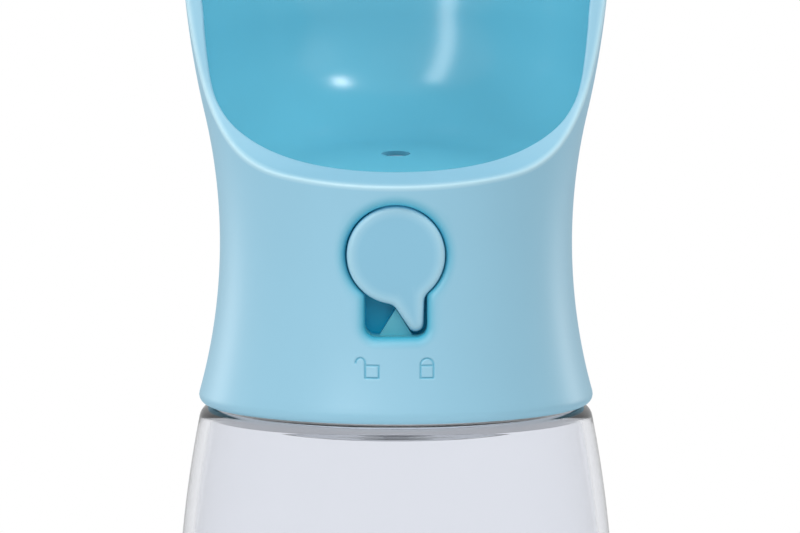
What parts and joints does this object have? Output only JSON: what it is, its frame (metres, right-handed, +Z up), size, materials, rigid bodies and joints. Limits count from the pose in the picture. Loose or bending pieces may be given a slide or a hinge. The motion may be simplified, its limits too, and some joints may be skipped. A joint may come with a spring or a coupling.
{
  "type": "dog travel water bottle",
  "caption": "Clear travel bottle with a screw-on scoop head: a drinking bowl fed through a push-button valve with a lock pointer.",
  "frame": {"origin": "centre of the bottle's foot, on the surface that it stands on", "axes": "+Z up along the bottle's axis, -Y towards the side with the push button, +X to the right seen from there"},
  "size_m": [0.072, 0.072, 0.2045],
  "materials": {
    "clear_plastic": "clear moulded plastic, polished",
    "shell_plastic": "satin light blue moulded plastic",
    "bowl_plastic": "glossy deeper blue moulded plastic",
    "inner_plastic": "white moulded plastic",
    "silicone": "milky silicone rubber",
    "steel": "stainless steel"
  },
  "bodies": {
    "bottle_body": {"bottle": "clear_plastic"},
    "gasket_body": {"neck_gasket": "silicone"},
    "head_body": {"screw_ring": "inner_plastic", "head_shell": "shell_plastic", "drinking_bowl": "bowl_plastic", "valve_deck": "inner_plastic", "deck_screws": "steel", "stem_guide": "inner_plastic", "valve_chamber": "inner_plastic", "chamber_seal": "silicone", "valve_spring": "steel", "button_housing": "shell_plastic", "housing_screws": "steel", "rod_bush": "inner_plastic", "rod_seal": "silicone", "gland_cap": "inner_plastic", "button_spring": "steel"},
    "valve_body": {"valve_stem": "inner_plastic", "valve_plug": "silicone", "plug_washer": "steel", "plug_clip": "steel"},
    "rod_body": {"push_rod": "inner_plastic", "rod_clip": "steel"},
    "button_body": {"button_cap": "shell_plastic"}
  },
  "joints": [
    {"name": "head_rise", "type": "slide", "parent": "bottle_body", "child": "gasket_body", "axis": [0, 0, 1], "range_m": [0, 0.012]},
    {"name": "head_turn", "type": "hinge", "parent": "gasket_body", "child": "head_body", "pos_m": [0, 0, 0.1], "axis": [0, 0, 1], "range_deg": [0, 1080]},
    {"name": "button_press", "type": "slide", "parent": "head_body", "child": "rod_body", "axis": [0, 1, 0], "range_m": [0, 0.003], "stiffness_N_per_m": 300, "deforming": ["button_spring"]},
    {"name": "button_turn", "type": "hinge", "parent": "rod_body", "child": "button_body", "pos_m": [0, -0.025, 0.1271], "axis": [0, 1, 0], "range_deg": [0, 32]},
    {"name": "valve_drop", "type": "slide", "parent": "head_body", "child": "valve_body", "axis": [0, 0, -1], "range_m": [0, 0.003], "deforming": ["valve_spring"]}
  ],
  "couplings": [
    {"joint": "head_turn", "follows": "head_rise", "rad_per_m": 1570.8},
    {"joint": "valve_drop", "follows": "button_press", "ratio": 1}
  ]
}
